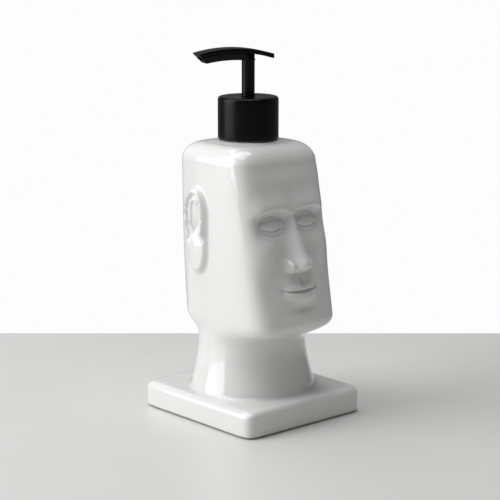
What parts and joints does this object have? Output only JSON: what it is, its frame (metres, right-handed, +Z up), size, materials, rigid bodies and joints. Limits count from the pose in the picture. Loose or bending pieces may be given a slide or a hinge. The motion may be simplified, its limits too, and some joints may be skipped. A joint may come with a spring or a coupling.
{
  "type": "soap pump dispenser",
  "caption": "Hollow glazed ceramic bottle shaped as a blocky head on a square foot, with a screw-on lotion pump that presses, swivels and unscrews.",
  "frame": {"origin": "on the table, under the middle of the base; the pump's vertical axis stands 3.2 mm behind it", "axes": "+Z up; the face looks along -Y; +X is the face's left ear. At rest the spout points towards -X and a little back"},
  "size_m": [0.0862, 0.0928, 0.2066],
  "materials": {
    "white_glaze": "gloss white glaze",
    "black_plastic": "satin black moulding",
    "natural_polypropylene": "uncoloured satin moulding",
    "soft_polyethylene": "soft uncoloured moulding",
    "tube_polyethylene": "milky extruded tube",
    "gasket_foam": "fine closed-cell foam",
    "clear_silicone": "translucent silicone",
    "stainless_steel": "bright wire and ball"
  },
  "bodies": {
    "bottle": {"bottle_body": "white_glaze", "foot_pad_1": "clear_silicone", "foot_pad_2": "clear_silicone", "foot_pad_3": "clear_silicone", "foot_pad_4": "clear_silicone", "neck_insert": "natural_polypropylene", "sealant_ring": "clear_silicone"},
    "pump": {"pump_housing": "natural_polypropylene", "bottle_gasket": "gasket_foam", "stem_guide": "black_plastic", "dip_tube": "tube_polyethylene", "return_spring": "stainless_steel"},
    "collar": {"collar_shell": "black_plastic", "screw_closure": "natural_polypropylene"},
    "valve": {"valve_spindle": "natural_polypropylene"},
    "plunger": {"stem": "natural_polypropylene", "spout_body": "black_plastic", "spout_cover": "black_plastic", "nozzle_insert": "black_plastic"},
    "piston": {"piston": "soft_polyethylene"},
    "inlet_check": {"inlet_ball": "stainless_steel"}
  },
  "joints": [
    {"name": "pump_rise", "type": "slide", "parent": "bottle", "child": "pump", "axis": [0, 0, 1], "range_m": [0, 0.00423]},
    {"name": "collar_turn", "type": "hinge", "parent": "pump", "child": "collar", "pos_m": [0, 0.0032, 0.1559], "axis": [0, 0, 1], "range_deg": [0, 360]},
    {"name": "press", "type": "slide", "parent": "pump", "child": "valve", "axis": [0, 0, -1], "range_m": [0, 0.016], "stiffness_N_per_m": 450, "springref_m": -0.012, "deforming": ["return_spring"]},
    {"name": "spout_swivel", "type": "hinge", "parent": "valve", "child": "plunger", "pos_m": [0, 0.0032, 0.1796], "axis": [0, 0, 1], "continuous": true},
    {"name": "piston_slip", "type": "slide", "parent": "valve", "child": "piston", "axis": [0, 0, 1], "range_m": [0, 0.0012]},
    {"name": "inlet_ball_lift", "type": "slide", "parent": "pump", "child": "inlet_check", "axis": [0, 0, 1], "range_m": [0, 0.001]}
  ],
  "couplings": [
    {"joint": "collar_turn", "follows": "pump_rise", "rad_per_m": 1485.4}
  ]
}
